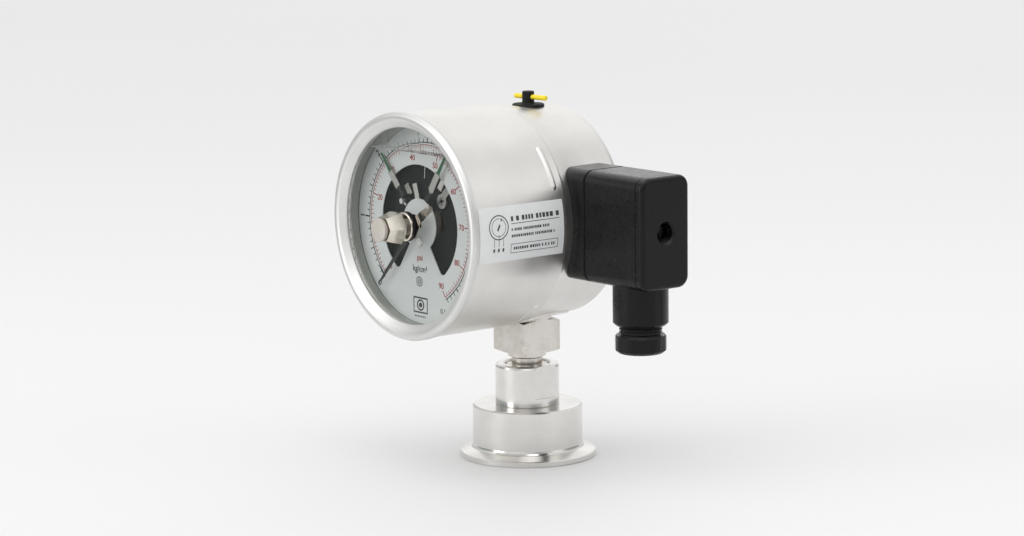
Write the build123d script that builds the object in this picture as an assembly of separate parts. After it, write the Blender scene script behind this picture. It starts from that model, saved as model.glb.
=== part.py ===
from build123d import *
import math
import os

# Contact pressure gauge with a hygienic clamp seal, a plug connector and two set pointers.
# Millimetres. Origin: centre of the clamp face. +Z up the stem, the dial faces -Y,
# the connector points along +X. Clock angles run clockwise from the top, seen from the front.

# ---- driving dimensions -------------------------------------------------------------------
AXIS_Z = 115.5            # dial axis above the clamp face

CLAMP_R = 32.0            # DN50 / 2 inch clamp ferrule
CLAMP_RIM = 2.85
SEAL_R = 25.75
SEAL_TOP = 24.6
ADAPTER_R = 15.0
ADAPTER_TOP = 44.0
ADAPTER_FLAT = 13.5       # half of the 27 mm wrench size
THREAD_R = 10.4           # G 1/2 stem thread
BLOCK_HALF = 11.0         # half of the 22 mm wrench size
BLOCK_LOW = 50.3
BLOCK_TOP = 64.2

DRUM_R = 51.5             # front drum of the case
DRUM_FRONT = -70.2
STEP_Y = -17.2            # where the drum meets the rear cup
CUP_R = 49.2              # rear cup, behind its shoulder
CUP_BACK = 19.5
CUP_EDGE = 3.5
WALL = 1.0
SHEET_GAP = 0.05

BEZEL_OPEN_R = 45.0
WINDOW_FRONT = -69.0
WINDOW_BACK = -66.5
DIAL_FRONT = -56.0
DIAL_BACK = -55.2
DIAL_R = 49.5
RING_R = 45.4             # inside of the ring between window and dial
CRESCENT_IN = 12.0
CRESCENT_OUT = 27.5
CRESCENT_END = 142.0      # clock angle of both inner corners
CRESCENT_TIP = 144.5      # and of both outer tips

BASE_FRONT = -47.6        # contact base plate
BASE_BACK = -46.6
HUB_R = 3.0               # fixed hub tube that carries both set pointers

POINTER_ZERO = -137.0     # clock angles at rest
LOW_SET = -40.0
HIGH_SET = 33.5
DRIVER_REST = 55.0

TUBE_R = 34.0             # Bourdon tube centre line
TUBE_FRONT = -16.0
TUBE_BACK = -4.0
TUBE_ROOT = 192.0
TUBE_TIP = 80.0
MOUNT_FRONT = -17.5       # mounting plate on the holder
MOUNT_BACK = -16.2
PLATE_THICK = 1.3
PLATE_GAP = 8.0           # between the movement plates
GEAR_MODULE = 0.3
PINION_TEETH = 12
SECTOR_TEETH = 120        # on the full circle
SECTOR_CUT = 13           # teeth that are cut
TAIL = 8.0                # sector pivot to link pin

PLUG_Z = 115.7            # connector centre
PLUG_W = 28.5             # along Y
PLUG_H = 51.0             # along Z
PLUG_CORNER = 5.5
BASE_X = 57.9
HOUSING_X = 58.7
COVER_X = 93.1
PLUG_X = 97.5
GLAND_X = 80.3
GLAND_R = 12.6
GLAND_LOW = 72.5
GLAND_THREAD_R = 9.78
GLAND_END = 62.5
CABLE_R = 4.0

VENT_Y = 2.3
VENT_HOLE_R = 5.0
PIN_Z = 168.8
PIN_R = 1.15
PIN_LENGTH = 19.5
PIN_SHIFT = 1.6           # the pin stands out further on the connector's side
PIN_TURN = 7.5            # from +X towards +Y

BUSH_R = 3.9              # adjusting lock: bush through the window
SPINDLE_R = 2.2
SCREW_Z = 7.8             # dial screw below the centre
SADDLE_THICK = 0.75
SPIGOT_R = 9.0
WIRE_HOLE_R = 12.0
BEAD_Y = -23.4

GEAR_BACK = MOUNT_FRONT - PLATE_THICK       # between the movement plates
GEAR_FRONT = GEAR_BACK - PLATE_GAP
SECTOR_BACK = -22.5
SECTOR_FRONT = -23.5
ARBOR_R = 0.75
SECTOR_AT = (15.0, -12.923)                 # sector shaft, from the dial axis
PILLARS = ((-9.0, -3.0), (16.5, 8.5), (10.0, -22.5))
COLLET_R = 2.2
HAIR_BACK = -19.2
HAIR_FRONT = -19.8
LINK_BACK = -21.5
LINK_FRONT = -22.2
LINK_PIN_R = 0.6
LINK_PLAY = 0.35                            # the linkage's open joint
TIP_X = SECTOR_AT[0] + TAIL
LINK_TOP = AXIS_Z - 1.0
POST_R = 38.0
POST_ANGLES = (30, 150, 270)

HUB_BORE = ARBOR_R + 0.1
SLEEVE_R = 4.0
SLOT_HIGH = (-54.2, -55.0)                  # (back, front) of each level behind the dial
SLOT_LOW = (-50.3, -53.8)
SLOT_REAR = (-47.9, -49.9)
STRIP = 0.5                                 # pointer sheet
HIGH_LEG_R = 13.85
LOW_LEG_R = 15.85
HIGH_FACE = -60.3
LOW_FACE = -59.2
NECK_END = 20.0
ARM_END = 30.0
TIP_END = 40.0
POINTER_FRONT = -61.3
POINTER_BACK = -59.4

KNOB_FRONT = -83.8
KNOB_BACK = -75.0
COUNTERBORE = -78.8
DRIVER_BACK = -64.2
FINGER_END = -61.75
FINGER_R = (13.8, 16.2)
CAP_TEETH = 40

COVER_GASKET = 0.4
SCREW_SHANK = 1.5
HEAD_X = 89.0
GLAND_BORE = 7.5
NUT_FLOOR = 61.5
NUT_TOP = 68.0
NUT_SIDES = 10
WASHER_HIGH = 63.2
SEAL_HIGH = 70.0
BLADES = ((0, 8.5, 0), (-7.5, 0, 90), (0, -8.5, 0), (7.5, 0, 90))   # (y, z, turn)


# ---- helpers ------------------------------------------------------------------------------
CASE_AXIS = Axis((0, 0, AXIS_Z), (0, 1, 0))


def face_plane(y):
    """Plane of the dial at depth y, seen from the front."""
    return Plane(origin=(0, y, AXIS_Z), x_dir=(1, 0, 0), z_dir=(0, -1, 0))


def slab(sketch, back, front):
    """A dial-plane sketch made solid between two depths."""
    return extrude(face_plane(back) * sketch, back - front)


def ring(radius, back, front, hole=0.0):
    """A disc or a ring about the dial axis."""
    sketch = Circle(radius)
    if hole:
        sketch -= Circle(hole)
    return slab(sketch, back, front)


def clock(radius, angle):
    """Dial-plane point at a clock angle."""
    a = math.radians(angle)
    return (radius * math.sin(a), radius * math.cos(a))


def turned_y(points):
    """Turn an outline of (radius, y) about the dial axis."""
    plane = Plane(origin=(0, 0, AXIS_Z), x_dir=(1, 0, 0), z_dir=(0, 0, 1))
    return revolve(plane * make_face(Polyline(*points, close=True)), CASE_AXIS)


def turned_z(points, x=0.0, y=0.0):
    """Turn an outline of (radius, z) about a vertical axis."""
    plane = Plane(origin=(x, y, 0), x_dir=(1, 0, 0), z_dir=(0, -1, 0))
    return revolve(plane * make_face(Polyline(*points, close=True)), Axis((x, y, 0), (0, 0, 1)))


def turned_x(points):
    """Turn an outline of (radius, x) about the connector axis."""
    plane = Plane(origin=(0, 0, PLUG_Z), x_dir=(0, 0, 1), z_dir=(0, 1, 0))
    return revolve(plane * make_face(Polyline(*points, close=True)), Axis((0, 0, PLUG_Z), (1, 0, 0)))


def block(x, y, z):
    """A box from three (low, high) pairs."""
    size = [pair[1] - pair[0] for pair in (x, y, z)]
    middle = [(pair[0] + pair[1]) / 2 for pair in (x, y, z)]
    return Pos(*middle) * Box(*size)


def bar(inner, outer, width, angle, wide_in=None):
    """Dial-plane strip along a clock angle, from one radius to another."""
    start = wide_in if wide_in is not None else width
    outline = [(-start / 2, inner), (-width / 2, outer), (width / 2, outer), (start / 2, inner)]
    return Rot(0, 0, -angle) * make_face(Polyline(*outline, close=True))


def pad(radius, angle, size):
    """Dial-plane disc centred on a clock position."""
    return Pos(*clock(radius, angle)) * Circle(size)


# ---- process connection -------------------------------------------------------------------
def make_seal_body():
    """Ferrule with its gasket groove, diaphragm seat and fill channel."""
    taper_r = 26.6
    taper_z = CLAMP_RIM + (CLAMP_R - 0.5 - taper_r) * math.tan(math.radians(20))
    return turned_z([
        (2.5, 1.2), (23.0, 1.2), (23.0, 0), (26.5, 0), (27.0, 1.5), (29.6, 1.5), (30.1, 0),
        (CLAMP_R - 0.4, 0), (CLAMP_R, 0.4), (CLAMP_R, CLAMP_RIM - 0.4), (CLAMP_R - 0.5, CLAMP_RIM),
        (taper_r, taper_z), (SEAL_R + 0.25, taper_z + 0.7), (SEAL_R, taper_z + 1.6),
        (SEAL_R, SEAL_TOP - 0.7), (SEAL_R - 0.7, SEAL_TOP), (2.5, SEAL_TOP),
    ])


def make_diaphragm():
    """Corrugated disc, flush with the clamp face at its centre."""
    sheet = 0.3
    waves = 3
    first = 9.0
    last = 21.5
    low = [(0, 0), (first, 0)]
    steps = waves * 2
    for i in range(1, steps):
        low.append((first + (last - first) * i / steps, 0.55 if i % 2 else 0.1))
    low += [(last, 0.1), (22.95, 0.1)]
    high = [(r, z + sheet) for r, z in reversed(low)]
    return turned_z(low + high)


def make_seal_adapter():
    """Collar with the female stem thread and two wrench flats."""
    bore_floor = 28.0
    body = turned_z([
        (2.5, SEAL_TOP), (ADAPTER_R - 0.4, SEAL_TOP), (ADAPTER_R, SEAL_TOP + 0.4),
        (ADAPTER_R, ADAPTER_TOP - 1.5),
        (ADAPTER_R - 0.35, ADAPTER_TOP - 0.6), (ADAPTER_R - 1.5, ADAPTER_TOP),
        (THREAD_R + 0.7, ADAPTER_TOP), (THREAD_R + 0.1, ADAPTER_TOP - 0.6),
        (THREAD_R + 0.1, bore_floor), (2.5, bore_floor),
    ])
    for side in (-1, 1):
        low, high = sorted((side * ADAPTER_FLAT, side * (ADAPTER_R + 1)))
        body -= block((low, high), (-ADAPTER_R, ADAPTER_R), (28.6, ADAPTER_TOP + 1))
    return body


def make_stem_gasket():
    return turned_z([(3.2, 28.0), (9.4, 28.0), (9.4, 29.4), (3.2, 29.4)])


def thread_outline(crest, root, low, high, pitch):
    """(radius, z) points of thread ridges going up from low to high."""
    points = []
    for i in range(round((high - low) / pitch)):
        z = low + i * pitch
        points += [(root, z), (crest, z + 0.35 * pitch), (crest, z + 0.6 * pitch), (root, z + 0.95 * pitch)]
    return points


def make_socket_block():
    """Square stem block with its thread below and the tube holder above, inside the case."""
    bore = 2.6
    threads = thread_outline(THREAD_R, THREAD_R - 0.95, 31.5, 43.4, 1.7)
    stem = turned_z(
        [(0, 29.4), (6.0, 29.4), (6.0, 31.0), (THREAD_R - 0.95, 31.2)] + threads
        + [(7.2, 43.5), (7.2, 46.6), (8.9, 47.4), (8.9, BLOCK_LOW + 4), (0, BLOCK_LOW + 4)]
    )
    corner = BLOCK_HALF * math.sqrt(2)
    square = block((-BLOCK_HALF, BLOCK_HALF), (-BLOCK_HALF, BLOCK_HALF), (BLOCK_LOW - 1.1, 68.0))
    square &= turned_z([
        (0, BLOCK_LOW - 1.1), (9.6, BLOCK_LOW - 1.1), (corner, BLOCK_LOW), (corner, BLOCK_TOP),
        (BLOCK_HALF + 0.4, BLOCK_TOP + 0.9), (BLOCK_HALF + 0.4, 68.0), (0, 68.0),
    ])
    square -= cup_shape(SADDLE_THICK + 0.02)
    spigot = turned_z([(0, 62.0), (SPIGOT_R, 62.0), (SPIGOT_R, 69.0), (0, 69.0)])
    holder = block((-8, 8), (MOUNT_BACK, 7), (68.5, AXIS_Z - 11.5))
    holder = fillet(holder.edges().filter_by(Axis.Z), 1.5)
    passage = turned_z([(0, 29.0), (bore, 29.0), (bore, 84.0), (0, 84.0)])
    holder -= tube_arc(tube_section(0.02), TUBE_ROOT, TUBE_ROOT + 8)
    return stem + square + spigot + holder - passage


def make_saddle_plate():
    """Curved plate that spreads the stem block's load on the rear cup."""
    shell = cup_shape(SADDLE_THICK) - cup_shape(0.02)
    shell &= block((-16.5, 16.5), (-12, 12), (60, 72))
    return shell - stem_clearance()


def stem_clearance():
    return turned_z([(0, 55), (SPIGOT_R + SHEET_GAP, 55), (SPIGOT_R + SHEET_GAP, 75), (0, 75)])


# ---- case ---------------------------------------------------------------------------------
def cup_shape(offset):
    """Solid inside the rear cup's outer surface, moved out by an offset."""
    shoulder = Spline(
        (50.9 + offset, STEP_Y), (50.3 + offset, -11.5), (49.55 + offset, -4.5), (CUP_R + offset, 3.0),
        tangents=[(-0.05, 1), (0, 1)])
    side = Line((CUP_R + offset, 3.0), (CUP_R + offset, CUP_BACK - CUP_EDGE))
    corner = CenterArc((CUP_R - CUP_EDGE, CUP_BACK - CUP_EDGE), CUP_EDGE + offset, 0, 90)
    close = Polyline((CUP_R - CUP_EDGE, CUP_BACK + offset), (0, CUP_BACK + offset), (0, STEP_Y),
                     (50.9 + offset, STEP_Y))
    plane = Plane(origin=(0, 0, AXIS_Z), x_dir=(1, 0, 0), z_dir=(0, 0, 1))
    return revolve(plane * make_face([shoulder, side, corner, close]), CASE_AXIS)


def make_case_rear_cup():
    """Drawn rear cup with openings for stem, vent plug and connector."""
    cup = cup_shape(0.0) - cup_shape(-WALL)
    vent = turned_z([(0, 150), (VENT_HOLE_R, 150), (VENT_HOLE_R, 175), (0, 175)], y=VENT_Y)
    wires = turned_x([(0, 40), (WIRE_HOLE_R, 40), (WIRE_HOLE_R, 60), (0, 60)])
    return cup - stem_clearance() - vent - wires


def make_bead():
    """One rounded pressed ridge on the drum, centred on the X axis."""
    radius = 2.3
    centre = DRUM_R - radius + 0.65
    arc = 21
    plane = Plane(origin=(0, 0, AXIS_Z), x_dir=(1, 0, 0), z_dir=(0, 0, 1))
    end = Pos(centre, BEAD_Y, AXIS_Z) * Sphere(radius)
    ridge = revolve(plane * Pos(centre, BEAD_Y) * Circle(radius), CASE_AXIS, revolution_arc=arc)
    ridge = ridge + end + end.rotate(CASE_AXIS, arc)
    return ridge.rotate(CASE_AXIS, -arc / 2)


def make_case_drum():
    """Front drum with a turned-in back edge and four pressed beads."""
    drum = turned_y([
        (DRUM_R, DRUM_FRONT), (DRUM_R, STEP_Y - 1.2), (DRUM_R - 0.25, STEP_Y - 0.5), (50.9, STEP_Y),
        (DRUM_R - 1.9, STEP_Y), (DRUM_R - 1.9, STEP_Y - 1.0), (DRUM_R - WALL, STEP_Y - 1.6),
        (DRUM_R - WALL, DRUM_FRONT),
    ])
    inside = ring(DRUM_R - WALL, STEP_Y, DRUM_FRONT)
    bead = make_bead() - inside
    for angle in (58.5, 148.5, 238.5, 328.5):
        drum += bead.rotate(CASE_AXIS, angle - 90)
    return drum


def make_bezel_ring():
    """Rolled ring that holds the window: skirt, round nose and an inward slope."""
    return turned_y([
        (52.1, -69.6), (52.1, -71.3), (51.75, -72.1), (51.1, -72.7), (50.2, -73.0), (49.2, -73.0),
        (47.9, -72.5), (46.6, -71.5), (45.4, -70.6), (BEZEL_OPEN_R, -70.1), (BEZEL_OPEN_R, -69.1),
        (45.8, -69.1), (46.1, -69.9), (47.3, -70.7), (48.5, -71.6), (49.5, -72.0), (50.3, -72.0),
        (51.0, -71.6), (51.3, -70.9), (51.55, -70.2), (51.55, -69.6),
    ])


def make_window_pane():
    return ring(49.8, WINDOW_BACK, WINDOW_FRONT, BUSH_R + SHEET_GAP)


def make_window_gasket():
    return ring(50.2, -65.0, WINDOW_BACK, RING_R + 0.3)


def make_spacer_ring():
    """Flanged ring between the window gasket and the dial."""
    tube = ring(RING_R + 1.0, DIAL_FRONT, -65.0, RING_R)
    flange = ring(50.2, -64.0, -65.0, RING_R)
    return tube + flange


def make_dial_plate():
    """Dial with its crescent cut-out and a hole for the pointer shaft."""
    inner = [clock(CRESCENT_IN, a) for a in (-CRESCENT_END, 0, CRESCENT_END)]
    outer = [clock(CRESCENT_OUT, a) for a in (CRESCENT_TIP, 0, -CRESCENT_TIP)]
    outline = [
        ThreePointArc(*inner), Line(inner[2], outer[0]), ThreePointArc(*outer), Line(outer[2], inner[0])]
    crescent = make_face(outline)
    tips = [v for v in crescent.vertices() if Vector(v.X, v.Y).length > CRESCENT_OUT - 1]
    crescent = fillet(tips, 2.4)
    sketch = Circle(DIAL_R) - crescent - Circle(1.6) - Pos(0, -SCREW_Z) * Circle(1.3)
    return slab(sketch, DIAL_BACK, DIAL_FRONT)


def make_label_plate():
    """Thin sticker that follows the drum's right side."""
    sheet = ring(DRUM_R + 0.15, -20.3, -68.9, DRUM_R)
    return sheet & block((30, 60), (-70, -20), (AXIS_Z - 11.8, AXIS_Z + 12.9))


# ---- vent ---------------------------------------------------------------------------------
def make_vent_plug():
    """Rubber plug: neck in the case, disc on it and a post with a cross hole."""
    plug = turned_z([
        (0, 161.0), (VENT_HOLE_R - 0.4, 161.0), (VENT_HOLE_R - 0.1, 162.0), (VENT_HOLE_R - 0.1, 164.0),
        (7.2, 163.0), (7.5, 163.3), (7.5, 165.2), (7.1, 165.6), (3.2, 165.8), (2.8, 166.2),
        (2.8, 171.1), (2.5, 171.4), (0, 171.4),
    ], y=VENT_Y)
    neck = turned_z([(0, 150), (VENT_HOLE_R - 0.1, 150), (VENT_HOLE_R - 0.1, 175), (0, 175)], y=VENT_Y)
    return plug - (cup_shape(0.02) - neck) - vent_cross(PIN_R + 0.06)


def vent_cross(radius):
    """Rod along the vent pin's axis."""
    rod = Rot(0, 90, 0) * Cylinder(radius, PIN_LENGTH)
    return Pos(0, VENT_Y, PIN_Z) * Rot(0, 0, PIN_TURN) * Pos(PIN_SHIFT, 0, 0) * rod


def make_vent_pin():
    pin = vent_cross(PIN_R)
    return fillet(pin.edges().filter_by(GeomType.CIRCLE), 0.3)


# ---- tube and movement --------------------------------------------------------------------
def tube_section(grow=0.0):
    """Flattened outline of the tube."""
    wide = 4.6 + 2 * grow
    return RectangleRounded(wide, TUBE_BACK - TUBE_FRONT - 1 + 2 * grow, wide / 2 - 0.05)


def tube_arc(section, start, end):
    """Sweep a section, drawn about the tube's centre line, between two clock angles."""
    plane = Plane(origin=(0, 0, AXIS_Z), x_dir=(1, 0, 0), z_dir=(0, 0, 1))
    middle = (TUBE_FRONT + TUBE_BACK) / 2
    solid = revolve(plane * Pos(TUBE_R, middle) * section, CASE_AXIS, revolution_arc=end - start)
    return solid.rotate(CASE_AXIS, start - 90)


def make_bourdon_tube():
    """Flattened C-shaped tube from the holder over the top to its tip."""
    return tube_arc(tube_section() - tube_section(-0.5), TUBE_ROOT, 360 + TUBE_TIP)


def make_tube_tip():
    """End block of the tube with a lug that reaches inward to the link."""
    gap = 0.1
    section = RectangleRounded(6.0, TUBE_BACK - TUBE_FRONT, 1.0)
    tip = tube_arc(section, TUBE_TIP + gap, TUBE_TIP + 12)
    lug = block((TIP_X - 2.2, TUBE_R), (LINK_BACK + 0.2, TUBE_FRONT + 1), (LINK_TOP - 2.0, LINK_TOP + 2.0))
    lug = fillet(lug.edges().filter_by(Axis.Y), 0.8)
    pin = link_pin(TIP_X, LINK_TOP, LINK_FRONT - 0.4, LINK_BACK + 0.3, LINK_PIN_R)
    return tip + lug + pin


def link_pin(x, z, front, back, radius):
    return slab(Pos(x, z - AXIS_Z) * Circle(radius), back, front)


def make_tip_link():
    """Flat link with an eye at each end."""
    top = LINK_TOP - AXIS_Z
    low = SECTOR_AT[1]
    sketch = Pos(TIP_X, top) * Circle(1.9) + Pos(TIP_X, low) * Circle(1.9)
    sketch += Pos(TIP_X, (top + low) / 2) * Rectangle(2.2, top - low)
    sketch -= Pos(TIP_X, top) * Circle(LINK_PIN_R + SHEET_GAP)
    sketch -= Pos(TIP_X, low) * Circle(LINK_PIN_R + LINK_PLAY)
    return slab(sketch, LINK_BACK, LINK_FRONT)


def movement_plate(back, front):
    """Side plate of the movement with holes for both shafts."""
    sketch = make_face(Polyline(
        (-12, -13), (-12, 2), (-4, 8), (12, 12), (19, 12), (19.5, 4), (19.5, -18), (14, -26),
        (6, -26), close=True))
    sketch = fillet(sketch.vertices(), 2.0)
    sketch -= Circle(ARBOR_R + SHEET_GAP) + Pos(*SECTOR_AT) * Circle(ARBOR_R + SHEET_GAP)
    return slab(sketch, back, front)


def make_movement_back_plate():
    return movement_plate(MOUNT_FRONT, GEAR_BACK)


def make_movement_front_plate():
    return movement_plate(GEAR_FRONT, GEAR_FRONT - PLATE_THICK)


def make_movement_pillars():
    return Compound([
        slab(Pos(*at) * Circle(1.6), GEAR_BACK, GEAR_FRONT) for at in PILLARS])


def cheese_head(at, radius, back, front):
    """Slotted screw head on a dial-plane position."""
    head = slab(Pos(*at) * Circle(radius), back, front)
    slot = slab(Pos(*at) * Rectangle(radius * 3, radius * 0.3), front + 0.5, front - 1)
    return fillet(head.edges().group_by(Axis.Y)[0], 0.2) - slot


def make_movement_screws():
    seat = GEAR_FRONT - PLATE_THICK
    screws = [cheese_head(at, 2.3, seat, seat - 1.3) for at in PILLARS]
    screws += [cheese_head((x, -32.0), 2.3, MOUNT_FRONT, MOUNT_FRONT - 1.3) for x in (-4.5, 4.5)]
    return Compound(screws)


def make_mounting_plate():
    """Spider on the holder: carries the movement and the long posts."""
    sketch = make_face(Polyline((-11, -38), (-11, 9), (11, 9), (11, -38), close=True))
    sketch = fillet(sketch.vertices(), 3.0)
    for angle in POST_ANGLES:
        sketch += bar(0, POST_R, 7.0, angle) + pad(POST_R, angle, 4.0)
    return slab(sketch, MOUNT_BACK, MOUNT_FRONT)


def gear_tooth(radius, angle, root_width, tip_width, outward=True):
    """One tooth, at an angle from the gear's +X axis, with a little of its root."""
    root = radius - 1.17 * GEAR_MODULE
    tip = radius + 0.83 * GEAR_MODULE
    half_root = root_width / 2
    half_tip = tip_width / 2
    outline = [(root - 0.2, -half_root), (root, -half_root), (tip, -half_tip), (tip, half_tip),
               (root, half_root), (root - 0.2, half_root)]
    return Rot(0, 0, angle) * make_face(Polyline(*outline, close=True))


def make_sector_gear():
    """Toothed sector, tail with the link pin, and the shaft between the plates."""
    radius = GEAR_MODULE * SECTOR_TEETH / 2
    root = radius - 1.17 * GEAR_MODULE
    pitch = 360 / SECTOR_TEETH
    mesh = math.degrees(math.atan2(-SECTOR_AT[1], -SECTOR_AT[0]))
    first = mesh + pitch
    sketch = Circle(3.0)
    angles = [first - i * pitch for i in range(SECTOR_CUT)]
    rim = Circle(root) - Circle(root - 3.0)
    middle = (angles[0] + angles[-1]) / 2
    span = angles[0] - angles[-1] + 2 * pitch
    wedge = [(0, 0)]
    for k in (-1, 0, 1):
        turn = math.radians(middle + k * span / 2)
        wedge.append((40 * math.cos(turn), 40 * math.sin(turn)))
    sketch += rim & make_face(Polyline(*wedge, close=True))
    for side in (-0.32, 0.32):
        arm = Pos((root - 1.5) / 2, 0) * Rectangle(root - 1.5, 2.2)
        sketch += Rot(0, 0, middle + side * span) * arm
    for angle in angles:
        sketch += gear_tooth(radius, angle, 0.5, 0.24)
    sketch += Pos(TAIL / 2, 0) * Rectangle(TAIL, 3.0) + Pos(TAIL, 0) * Circle(1.8)
    gear = slab(Pos(*SECTOR_AT) * sketch, SECTOR_BACK, SECTOR_FRONT)
    shaft = slab(Pos(*SECTOR_AT) * Circle(ARBOR_R), MOUNT_FRONT - 0.1, GEAR_FRONT - PLATE_THICK - 0.4)
    boss = slab(Pos(*SECTOR_AT) * Circle(1.8), GEAR_BACK - 0.3, GEAR_FRONT + 0.3)
    pin = link_pin(SECTOR_AT[0] + TAIL, SECTOR_AT[1] + AXIS_Z, SECTOR_FRONT, LINK_BACK + 0.5, LINK_PIN_R)
    return gear + shaft + boss + pin


def make_pinion_arbor():
    """Pinion and the long pointer shaft."""
    radius = GEAR_MODULE * PINION_TEETH / 2
    towards = math.degrees(math.atan2(SECTOR_AT[1], SECTOR_AT[0]))
    pitch = 360 / PINION_TEETH
    sketch = Circle(radius - 1.17 * GEAR_MODULE)
    for i in range(PINION_TEETH):
        sketch += gear_tooth(radius, towards + (i + 0.5) * pitch, 0.5, 0.22)
    teeth = slab(sketch, SECTOR_BACK + 1.2, SECTOR_FRONT - 1.2)
    shaft = ring(ARBOR_R, MOUNT_FRONT - 0.1, POINTER_FRONT)
    collet = ring(COLLET_R, HAIR_BACK + 0.3, HAIR_FRONT - 0.1)
    return teeth + shaft + collet


def make_hairspring():
    """Flat spiral strip from the collet to a stud on a pillar side."""
    turns = 4.25
    per_turn = 20
    start_r = COLLET_R + 0.12
    growth = 1.1
    strip = 0.2
    count = int(turns * per_turn)
    inner = []
    outer = []
    for i in range(count + 1):
        a = 2 * math.pi * i / per_turn
        r = start_r + growth * i / per_turn
        inner.append((r * math.cos(a), r * math.sin(a)))
        outer.append(((r + strip) * math.cos(a), (r + strip) * math.sin(a)))
    sketch = make_face(Polyline(*inner, *reversed(outer), close=True))
    return slab(sketch, HAIR_BACK, HAIR_FRONT)


# ---- contacts and pointers ----------------------------------------------------------------
def make_contact_base_plate():
    """Moulded plate behind the dial with the fixed hub tube and a screw post."""
    plate = ring(40.0, BASE_BACK, BASE_FRONT, HUB_BORE)
    for radius, width in ((31.0, 1.2), (35.5, 0.8)):
        plate -= ring(radius, BASE_FRONT + 0.35, BASE_FRONT - 1, radius - width)
    hub = ring(HUB_R, BASE_FRONT, SLOT_HIGH[1], HUB_BORE)
    post = slab(Pos(0, -SCREW_Z) * Circle(1.6), BASE_FRONT, DIAL_BACK)
    for angle in POST_ANGLES:
        post += slab(pad(36.5, angle, 2.2), BASE_FRONT, DIAL_BACK)
    wires = slab(Pos(30, -18) * Circle(6.0), BASE_BACK + 1, BASE_FRONT - 1)
    return plate + hub + post - wires


def make_base_posts():
    """Long hexagon posts from the mounting plate to the contact base plate."""
    return Compound([
        slab(Pos(*clock(POST_R, a)) * RegularPolygon(2.6, 6), MOUNT_FRONT, BASE_BACK)
        for a in POST_ANGLES])


def make_dial_screw():
    head = cheese_head((0, -SCREW_Z), 2.2, DIAL_FRONT, DIAL_FRONT - 1.1)
    shank = slab(Pos(0, -SCREW_Z) * Circle(1.2), DIAL_FRONT, DIAL_BACK)
    return head + shank


def pointer_strip(leg_r, back, front, angle):
    """Bent sheet pointer: leg through the crescent, thin neck, arm and tapered tip."""
    leg_w = 2.8
    leg = slab(Rot(0, 0, -angle) * Pos(0, leg_r) * Rectangle(leg_w, STRIP), back, front)
    flat = bar(leg_r - STRIP / 2, NECK_END, 1.5, angle, wide_in=leg_w)
    flat += bar(NECK_END, ARM_END, 3.4, angle)
    flat += bar(ARM_END, TIP_END, 1.1, angle, wide_in=2.0)
    return leg + slab(flat, front + STRIP, front)


def make_set_pointer_high():
    return pointer_strip(HIGH_LEG_R, SLOT_HIGH[1], HIGH_FACE, HIGH_SET)


def make_set_pointer_low():
    return pointer_strip(LOW_LEG_R, SLOT_LOW[1], LOW_FACE, LOW_SET)


def make_high_carrier():
    """Sleeve on the hub tube with a front arm and, behind the low carrier, a contact arm."""
    sleeve = ring(SLEEVE_R, SLOT_REAR[0], SLOT_HIGH[1], HUB_R + SHEET_GAP)
    bore = ring(HUB_R + SHEET_GAP, SLOT_REAR[0] + 1, SLOT_HIGH[1] - 1)
    arm = slab(bar(0, HIGH_LEG_R + STRIP / 2, 3.2, HIGH_SET), SLOT_HIGH[0], SLOT_HIGH[1])
    rear = bar(0, 16.0, 6.0, HIGH_SET + 13.5, wide_in=4.4) + pad(16.5, HIGH_SET + 13.5, 4.2)
    rear += bar(0, 20.0, 2.4, HIGH_SET - 0.5)
    rear = slab(rear, SLOT_REAR[0], SLOT_REAR[0] - 0.8)
    pivot = slab(pad(17.0, HIGH_SET + 13.5, 0.9), SLOT_REAR[0], SLOT_REAR[1])
    return sleeve + (arm + rear - bore) + pivot


def make_high_contact_arm():
    """Moving contact: cross-slotted ring on the pivot and a flat blade outwards."""
    at = HIGH_SET + 13.5
    sketch = pad(17.0, at, 3.3) + bar(18.5, 27.0, 3.4, at - 2.5) - pad(17.0, at, 0.95)
    for turn in (15, 105):
        sketch -= Pos(*clock(17.0, at)) * Rot(0, 0, turn) * Rectangle(4.2, 0.6)
    return slab(sketch, SLOT_REAR[0] - 0.85, SLOT_REAR[1])


def make_high_magnet():
    return slab(bar(20.0, 26.0, 3.0, HIGH_SET - 0.5), SLOT_REAR[0], SLOT_REAR[1])


def make_low_carrier():
    """Ring on the high sleeve with the pointer arm and a contact bracket."""
    hub = ring(6.0, SLOT_LOW[0], SLOT_LOW[1], SLEEVE_R + SHEET_GAP)
    bore = ring(SLEEVE_R + SHEET_GAP, SLOT_LOW[0] + 1, SLOT_LOW[1] - 1)
    plate = slab(bar(0, LOW_LEG_R + STRIP / 2, 3.2, LOW_SET), SLOT_LOW[0] - 2.4, SLOT_LOW[1])
    plate += slab(bar(0, 20.5, 3.2, LOW_SET + 6.5), SLOT_LOW[0], SLOT_LOW[0] - 0.8)
    foot = slab(bar(0, 9.5, 3.2, LOW_SET + 24), SLOT_LOW[0], SLOT_LOW[0] - 0.8)
    pivot = slab(pad(8.5, LOW_SET + 24, 0.8), SLOT_LOW[0], SLOT_LOW[1])
    lug = slab(bar(0, 13.8, 2.0, LOW_SET - 18), SLOT_LOW[0] - 0.4, SLOT_LOW[1] + 0.4)
    return hub + (plate + foot + lug - bore) + pivot


def make_low_contact_arm():
    """Moving contact of the low limit."""
    at = LOW_SET + 24
    sketch = bar(7.2, 19.0, 3.2, at - 1.0) + pad(8.5, at, 1.9) - pad(8.5, at, 0.85)
    return slab(sketch, SLOT_LOW[0] - 0.85, SLOT_LOW[1] + 1.4)


def make_low_magnet():
    return slab(bar(15.5, 20.8, 3.2, LOW_SET + 6.5), SLOT_LOW[0] - 0.85, SLOT_LOW[0] - 2.35)


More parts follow.
